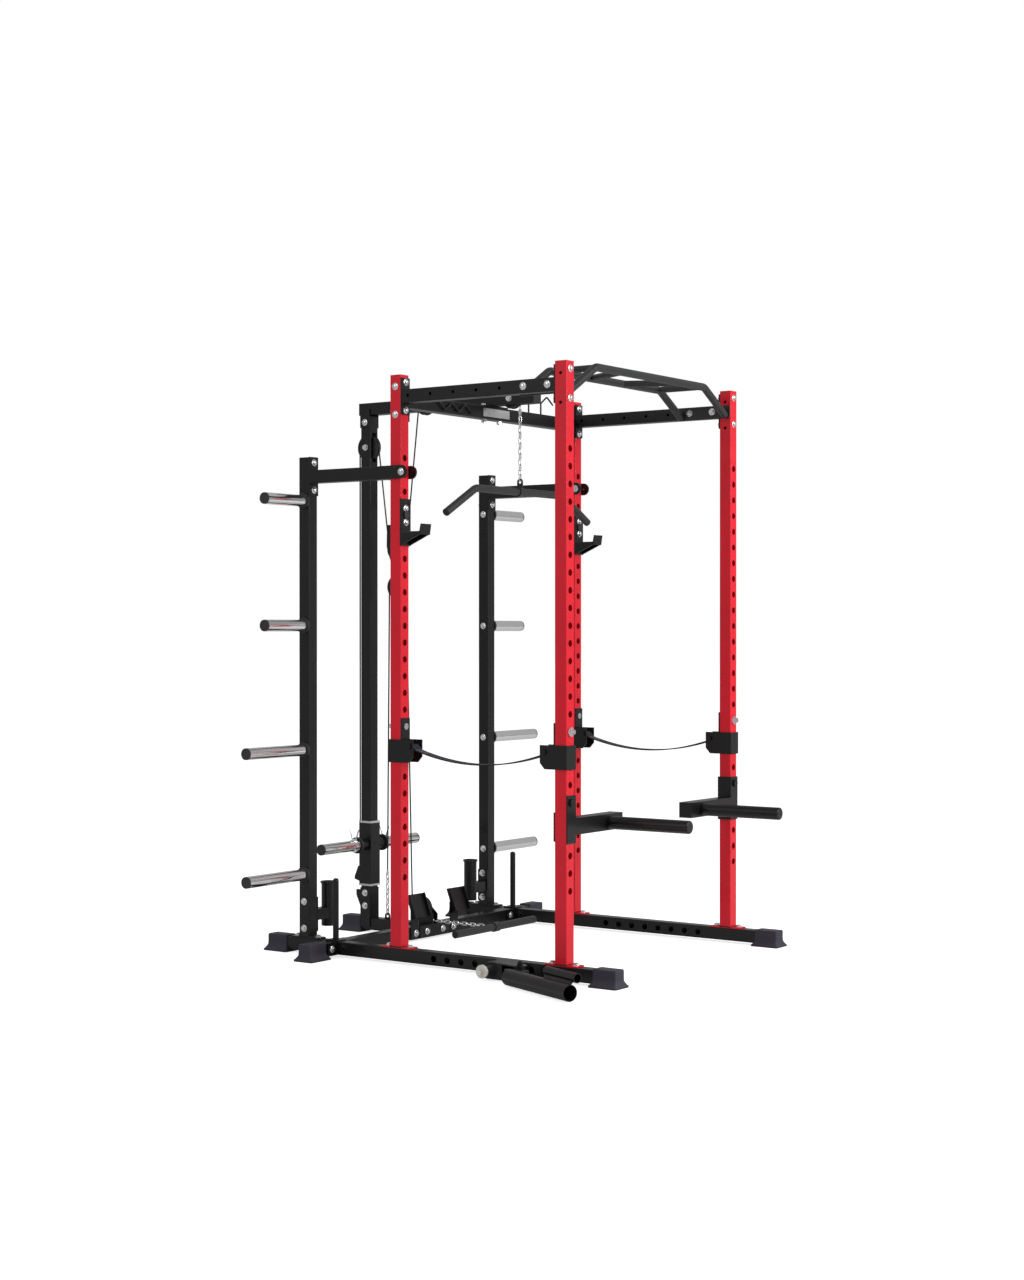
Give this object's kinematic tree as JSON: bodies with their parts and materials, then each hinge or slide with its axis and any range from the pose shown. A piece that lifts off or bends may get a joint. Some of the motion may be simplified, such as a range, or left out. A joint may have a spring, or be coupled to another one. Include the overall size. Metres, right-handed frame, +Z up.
{
  "type": "power cage",
  "caption": "Free-standing barbell cage with hooks, strap safeties, pull-up and dip bars, plate storage, a landmine, and a plate-loaded cable station for lat pulls and rows.",
  "frame": {"origin": "on the floor, under the middle of the whole machine", "axes": "+X to the right seen from the front, +Y to the back, +Z up"},
  "size_m": [1.905, 1.875, 2.227],
  "materials": {
    "red_paint": "gloss red powder coat",
    "black_paint": "gloss black powder coat",
    "grip_coat": "dark grey satin coat",
    "chrome_steel": "polished chrome",
    "zinc_steel": "bright zinc plate",
    "plate_aluminium": "brushed",
    "rubber": "matte moulded rubber",
    "cap_plastic": "matte",
    "glide_plastic": "matte light grey",
    "pulley_nylon": "satin black",
    "cable_sheath": "smooth sheath",
    "webbing": "woven nylon webbing"
  },
  "bodies": {
    "frame": {"anchor_chain": "zinc_steel", "band_pegs": "black_paint", "barbell_holders": "black_paint", "base_rails": "black_paint", "cable_block_lower": "cable_sheath", "cable_block_upper": "cable_sheath", "cable_carriage_fall": "cable_sheath", "cable_lat_drop": "cable_sheath", "cable_row_draw": "cable_sheath", "cable_turns": "cable_sheath", "cross_rail": "black_paint", "dip_bars": "black_paint", "end_caps": "cap_plastic", "frame_bolts": "zinc_steel", "j_hook_liners": "rubber", "j_hooks": "black_paint", "landmine_pin": "zinc_steel", "lat_beam": "black_paint", "mast": "black_paint", "mast_rail": "black_paint", "name_plate": "plate_aluminium", "peg_collars": "rubber", "plate_pegs": "chrome_steel", "post_arms": "black_paint", "pull_up_bar": "grip_coat", "pulley_axles": "zinc_steel", "rear_crossbeam": "black_paint", "row_footrest": "black_paint", "rubber_feet": "rubber", "safety_straps": "webbing", "storage_posts": "black_paint", "storage_rails": "black_paint", "strap_brackets": "black_paint", "top_beams": "black_paint", "upright_front_left": "red_paint", "upright_front_right": "red_paint", "upright_rear_left": "red_paint", "upright_rear_right": "red_paint"},
    "carriage": {"carriage": "black_paint", "carriage_glides": "glide_plastic", "carriage_pegs": "chrome_steel", "carriage_bumpers": "rubber"},
    "lat_bar": {"lat_bar": "grip_coat", "lat_chain": "zinc_steel"},
    "row_bar": {"row_bar": "grip_coat", "row_chain": "zinc_steel"},
    "block": {"block_plates": "black_paint", "block_cable_turns": "cable_sheath"},
    "lat_wheel_front": {"lat_wheel_front": "pulley_nylon"},
    "lat_wheel_rear": {"lat_wheel_rear": "pulley_nylon"},
    "mast_wheel": {"mast_wheel": "pulley_nylon"},
    "block_wheel_upper": {"block_wheel_upper": "pulley_nylon"},
    "block_wheel_lower": {"block_wheel_lower": "pulley_nylon"},
    "row_wheel": {"row_wheel": "pulley_nylon"},
    "landmine_base": {"landmine_base": "black_paint"},
    "landmine_socket": {"landmine_socket": "black_paint"},
    "strap_pin_front_left": {"strap_pin_front_left": "zinc_steel"},
    "strap_pin_front_right": {"strap_pin_front_right": "zinc_steel"},
    "strap_pin_rear_left": {"strap_pin_rear_left": "zinc_steel"},
    "strap_pin_rear_right": {"strap_pin_rear_right": "zinc_steel"}
  },
  "joints": [
    {"name": "carriage_lift", "type": "slide", "parent": "frame", "child": "carriage", "axis": [0, 0, 1], "range_m": [0, 1.1], "deforming": ["cable_carriage_fall"]},
    {"name": "lat_bar_pull", "type": "slide", "parent": "frame", "child": "lat_bar", "axis": [0, 0, -1], "range_m": [0, 1.1], "deforming": ["cable_lat_drop"]},
    {"name": "row_pull", "type": "slide", "parent": "frame", "child": "row_bar", "axis": [0, -1, 0], "range_m": [0, 0.9], "deforming": ["cable_row_draw"]},
    {"name": "block_drop", "type": "slide", "parent": "frame", "child": "block", "axis": [0, 0, -1], "range_m": [0, 0.45], "deforming": ["cable_block_upper", "cable_block_lower"]},
    {"name": "lat_wheel_front_spin", "type": "hinge", "parent": "frame", "child": "lat_wheel_front", "pos_m": [0, 0.0745, 2.172], "axis": [1, 0, 0], "range_deg": [0, 1760]},
    {"name": "lat_wheel_rear_spin", "type": "hinge", "parent": "frame", "child": "lat_wheel_rear", "pos_m": [0, 0.5075, 2.172], "axis": [1, 0, 0], "range_deg": [0, 1760]},
    {"name": "mast_wheel_spin", "type": "hinge", "parent": "frame", "child": "mast_wheel", "pos_m": [0, 0.8035, 2.013], "axis": [1, 0, 0], "range_deg": [0, 1290]},
    {"name": "block_wheel_upper_spin", "type": "hinge", "parent": "block", "child": "block_wheel_upper", "pos_m": [0, 0.6535, 1.589], "axis": [1, 0, 0], "range_deg": [-1460, 0]},
    {"name": "block_wheel_lower_spin", "type": "hinge", "parent": "block", "child": "block_wheel_lower", "pos_m": [0, 0.6535, 1.433], "axis": [1, 0, 0], "range_deg": [0, 605]},
    {"name": "row_wheel_spin", "type": "hinge", "parent": "frame", "child": "row_wheel", "pos_m": [0, 0.5315, 0.117], "axis": [1, 0, 0], "range_deg": [-1130, 0]},
    {"name": "landmine_pitch", "type": "hinge", "parent": "frame", "child": "landmine_base", "pos_m": [-0.67, -0.316, 0.035], "axis": [-1, 0, 0], "range_deg": [0, 70]},
    {"name": "landmine_yaw", "type": "hinge", "parent": "landmine_base", "child": "landmine_socket", "pos_m": [-0.7025, -0.4515, 0.035], "axis": [0, 0, 1], "range_deg": [-40, 20]},
    {"name": "strap_pin_front_left_pull", "type": "slide", "parent": "frame", "child": "strap_pin_front_left", "axis": [0, -1, 0], "range_m": [0, 0.07]},
    {"name": "strap_pin_front_right_pull", "type": "slide", "parent": "frame", "child": "strap_pin_front_right", "axis": [0, -1, 0], "range_m": [0, 0.07]},
    {"name": "strap_pin_rear_left_pull", "type": "slide", "parent": "frame", "child": "strap_pin_rear_left", "axis": [0, 1, 0], "range_m": [0, 0.07]},
    {"name": "strap_pin_rear_right_pull", "type": "slide", "parent": "frame", "child": "strap_pin_rear_right", "axis": [0, 1, 0], "range_m": [0, 0.07]}
  ],
  "couplings": [
    {"joint": "lat_bar_pull", "follows": "carriage_lift", "ratio": 1},
    {"joint": "block_drop", "follows": "row_pull", "ratio": 0.5},
    {"joint": "lat_wheel_front_spin", "follows": "carriage_lift", "rad_per_m": 27.778},
    {"joint": "lat_wheel_rear_spin", "follows": "carriage_lift", "rad_per_m": 27.778},
    {"joint": "mast_wheel_spin", "follows": "carriage_lift", "rad_per_m": 20.202},
    {"joint": "block_wheel_upper_spin", "follows": "carriage_lift", "rad_per_m": -22.988},
    {"joint": "block_wheel_lower_spin", "follows": "row_pull", "rad_per_m": 11.494},
    {"joint": "row_wheel_spin", "follows": "row_pull", "rad_per_m": -21.739}
  ]
}
